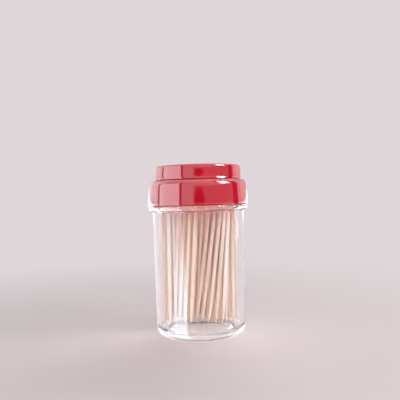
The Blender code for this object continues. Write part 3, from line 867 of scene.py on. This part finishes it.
def half_chord(radius, distance):
    """Half the width of a circle at a distance from its middle."""
    return math.sqrt(max(0, radius**2 - distance**2))


def spread_out(count, left, right, pitch, chance):
    """Sorted places between two others, one pitch or more apart, with the slack shared out unevenly."""
    slack = right - left - (count + 1) * pitch
    weights = [chance.random() ** 2 for _ in range(count + 1)]
    places, place = [], left
    for weight in weights[:-1]:
        place += pitch + slack * weight / sum(weights)
        places.append(place)
    return places


def filled_rows(packed, picks, chance):
    """Toothpicks for the empty stretches of the packed rows, inside each row and by the wall."""
    rows = {}
    for foot, head in packed:
        rows.setdefault(round(foot.y / MM, 1), []).append((foot, head))
    added = []
    rounding = 0.001
    for row in rows.values():
        foot_y, foot_z = row[0][0].yz
        head_y, head_z = row[0][1].yz
        walls = [
            (side * half_chord(picks.foot_reach, foot_y), side * half_chord(picks.head_reach, head_y))
            for side in (-1, 1)
        ]
        places = sorted((foot.x, head.x) for foot, head in row)
        bounds = [(walls[0][0] - picks.pitch, walls[0][1] - picks.pitch), *places]
        bounds.append((walls[1][0] + picks.pitch, walls[1][1] + picks.pitch))
        for left, right in zip(bounds, bounds[1:]):
            room = min(right[0] - left[0], right[1] - left[1])
            count = int(room / picks.pitch + rounding) - 1
            if count > 0:
                feet, heads = (
                    spread_out(count, left[end], right[end], picks.pitch, chance) for end in (0, 1)
                )
                for foot_x, head_x in zip(feet, heads):
                    foot = Vector((foot_x, foot_y, foot_z))
                    head = Vector((head_x, head_y, head_z))
                    added.append((foot, foot + picks.length * (head - foot).normalized()))
    return added


def pick_tree():
    """Geometry Nodes: one turned toothpick on every point, laid along the point's own direction."""
    tree = bpy.data.node_groups.new("toothpicks_on_points", "GeometryNodeTree")
    face = tree.interface
    face.new_socket("Geometry", in_out="OUTPUT", socket_type="NodeSocketGeometry")
    face.new_socket("Geometry", in_out="INPUT", socket_type="NodeSocketGeometry")
    for name in ("Length", "Radius", "Tip Radius", "Taper"):
        face.new_socket(name, in_out="INPUT", socket_type="NodeSocketFloat").subtype = "DISTANCE"
    face.new_socket("Seed", in_out="INPUT", socket_type="NodeSocketInt")
    face.new_socket("Material", in_out="INPUT", socket_type="NodeSocketMaterial")
    given = add_node(tree, "NodeGroupInput").outputs

    # A unit cylinder whose rings are moved along the pick and drawn in: both ends taper in a bulging line.
    unit = add_node(
        tree,
        "GeometryNodeMeshCylinder",
        {"Vertices": PICK_SIDES, "Side Segments": PICK_RINGS - 1, "Radius": 1.0, "Depth": 1.0},
        fill_type="NGON",
    )
    place = add_node(tree, "GeometryNodeInputPosition").outputs[0]
    at = add_node(tree, "ShaderNodeSeparateXYZ", {0: place}).outputs
    found = {"z": at["Z"], "length": given["Length"], "taper": given["Taper"]}
    for name, operation, *values in (
        ("along", "ADD", "z", 0.5),
        ("to_head", "SUBTRACT", 1.0, "along"),
        ("to_end", "MINIMUM", "along", "to_head"),
        ("from_end", "MULTIPLY", "to_end", TAPER_STEP),
        ("bulging", "POWER", "from_end", TIP_RISE_POWER),
        ("rise", "MULTIPLY", "bulging", "taper"),
        ("is_head", "GREATER_THAN", "along", 0.5),
        ("upper", "SUBTRACT", "length", "rise"),
        ("to_taper", "SUBTRACT", 1.0, "from_end"),
        ("inward", "POWER", "to_taper", TIP_INWARD_POWER),
    ):
        inputs = {socket: found.get(value, value) for socket, value in enumerate(values)}
        found[name] = add_node(tree, "ShaderNodeMath", inputs, operation=operation).outputs[0]
    mixed = {0: found["is_head"], 2: found["rise"], 3: found["upper"]}
    height = add_node(tree, "ShaderNodeMix", mixed, data_type="FLOAT").outputs[0]
    mixed = {0: found["inward"], 2: given["Radius"], 3: given["Tip Radius"]}
    girth = add_node(tree, "ShaderNodeMix", mixed, data_type="FLOAT").outputs[0]
    spot = {"Z": height}
    for axis in "XY":
        drawn_in = {0: at[axis], 1: girth}
        spot[axis] = add_node(tree, "ShaderNodeMath", drawn_in, operation="MULTIPLY").outputs[0]
    ring = add_node(tree, "ShaderNodeCombineXYZ", spot).outputs["Vector"]
    moved = {"Geometry": unit.outputs["Mesh"], "Position": ring}
    shaped = add_node(tree, "GeometryNodeSetPosition", moved)
    smooth = add_node(tree, "GeometryNodeSetShadeSmooth", {"Geometry": shaped.outputs["Geometry"]})
    way = add_node(
        tree, "GeometryNodeInputNamedAttribute", {"Name": "direction"}, data_type="FLOAT_VECTOR"
    ).outputs["Attribute"]
    upright = add_node(tree, "FunctionNodeAlignRotationToVector", {"Vector": way}, axis="Z")
    turn = add_node(
        tree,
        "FunctionNodeRandomValue",
        {"Min": (0, 0, 0), "Max": (0, 0, 2 * math.pi), "Seed": given["Seed"]},
        data_type="FLOAT_VECTOR",
    ).outputs["Value"]
    roll = add_node(tree, "FunctionNodeEulerToRotation", {0: turn}).outputs[0]
    rolled = add_node(
        tree,
        "FunctionNodeRotateRotation",
        {"Rotation": upright.outputs["Rotation"], "Rotate By": roll},
        rotation_space="LOCAL",
    ).outputs["Rotation"]
    own = []
    for shift, low, high in ((1, 1 - GIRTH_SPREAD, 1 + GIRTH_SPREAD), (2, 0.0, 1.0)):
        seed = add_node(tree, "ShaderNodeMath", {0: given["Seed"], 1: shift}, operation="ADD").outputs[0]
        limits = {2: low, 3: high, "Seed": seed}
        own.append(add_node(tree, "FunctionNodeRandomValue", limits, data_type="FLOAT").outputs[1])
    stout, tone = own
    scale = add_node(tree, "ShaderNodeCombineXYZ", {"X": stout, "Y": stout, "Z": 1.0}).outputs["Vector"]
    placed = {"Points": given["Geometry"], "Instance": smooth.outputs["Geometry"]}
    placed.update({"Rotation": rolled, "Scale": scale})
    stood = add_node(tree, "GeometryNodeInstanceOnPoints", placed)
    toned = add_node(
        tree,
        "GeometryNodeStoreNamedAttribute",
        {"Geometry": stood.outputs["Instances"], "Name": "tone", "Value": tone},
        data_type="FLOAT",
        domain="INSTANCE",
    )
    real = add_node(tree, "GeometryNodeRealizeInstances", {"Geometry": toned.outputs["Geometry"]})
    wood = {"Geometry": real.outputs["Geometry"], "Material": given["Material"]}
    wooden = add_node(tree, "GeometryNodeSetMaterial", wood)
    add_node(tree, "NodeGroupOutput", {0: wooden.outputs["Geometry"]})
    return tree


def stand_picks(name, pairs, picks, material):
    """Runs the tree on one point for each toothpick, and returns the result as a plain object."""
    points = bpy.data.meshes.new(name)
    points.from_pydata([foot for foot, _ in pairs], [], [])
    ways = points.attributes.new("direction", "FLOAT_VECTOR", "POINT")
    ways.data.foreach_set("vector", [c for foot, head in pairs for c in (head - foot).normalized()])
    made = object_of(name, points)
    modifier = made.modifiers.new("toothpicks_on_points", "NODES")
    modifier.node_group = tree = pick_tree()
    values = {
        "Length": picks.length,
        "Radius": picks.radius,
        "Tip Radius": picks.tip_radius,
        "Taper": picks.taper,
        "Seed": picks.seed,
        "Material": material,
    }
    for item in tree.interface.items_tree:
        if item.in_out == "INPUT" and item.name in values:
            modifier[item.identifier] = values[item.name]
    bpy.context.view_layer.update()
    mesh = plain_copy(made, name)
    made.modifiers.clear()
    made.data = mesh
    return made


class DISPENSER_OT_toothpicks(Operator):
    """Stands the loose birch toothpicks in the jar, the packed ones and those hidden between them"""

    bl_idname = "dispenser.toothpicks"
    bl_label = "Toothpicks"

    def execute(self, context):
        picks = context.scene.dispenser_picks
        names = sorted(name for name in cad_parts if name.startswith("toothpick_"))
        if not names:
            raise RuntimeError("The packed model has no toothpicks")
        apart = Matrix.Diagonal((picks.spread, picks.spread, 1.0))
        packed = [[apart @ end for end in ends_of(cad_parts[name])] for name in names]
        chance = random.Random(picks.seed)
        post_margin = 2 * MM
        under_post = context.scene.dispenser_lid.post_radius + post_margin
        pairs = []
        for foot, head in packed + filled_rows(packed, picks, chance):
            room = picks.post_lift if head.xy.length < under_post else picks.most_lift
            held_up = Vector((0, 0, room * chance.random()))
            pairs.append((foot + held_up, head + held_up))
        made = stand_picks("birch_toothpicks", pairs, picks, birch_turned(picks.light, picks.dark))
        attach(made, "toothpicks")
        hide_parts(*names)
        return {"FINISHED"}


class DISPENSER_PT_panel(Panel):
    """Lists the dispenser's pieces, sizes and colours"""

    bl_idname = "DISPENSER_PT_panel"
    bl_label = "Toothpick Dispenser"
    bl_space_type = "VIEW_3D"
    bl_region_type = "UI"
    bl_category = "Dispenser"

    def draw(self, context):
        for operator in OPERATORS:
            self.layout.operator(operator.bl_idname)
        for name, group in GROUPS.items():
            box = self.layout.box()
            box.label(text=group.__doc__)
            for prop in group.__annotations__:
                box.prop(getattr(context.scene, name), prop)


GROUPS = {
    "dispenser_jar": DispenserJar,
    "dispenser_lid": DispenserLid,
    "dispenser_picks": DispenserPicks,
    "dispenser_studio": DispenserStudio,
}
OPERATORS = (
    DISPENSER_OT_stage,
    DISPENSER_OT_jar,
    DISPENSER_OT_cap,
    DISPENSER_OT_dial,
    DISPENSER_OT_toothpicks,
)
CLASSES = (*GROUPS.values(), *OPERATORS, DISPENSER_PT_panel)


def register():
    for kind in CLASSES:
        bpy.utils.register_class(kind)
    for name, group in GROUPS.items():
        setattr(bpy.types.Scene, name, PointerProperty(type=group))


def unregister():
    for name in GROUPS:
        delattr(bpy.types.Scene, name)
    for kind in reversed(CLASSES):
        bpy.utils.unregister_class(kind)


def main():
    register()
    bpy.ops.dispenser.stage()
    bpy.ops.dispenser.jar()
    bpy.ops.dispenser.cap()
    bpy.ops.dispenser.dial()
    bpy.ops.dispenser.toothpicks()
    bpy.context.view_layer.update()


if __name__ == "__main__":
    main()
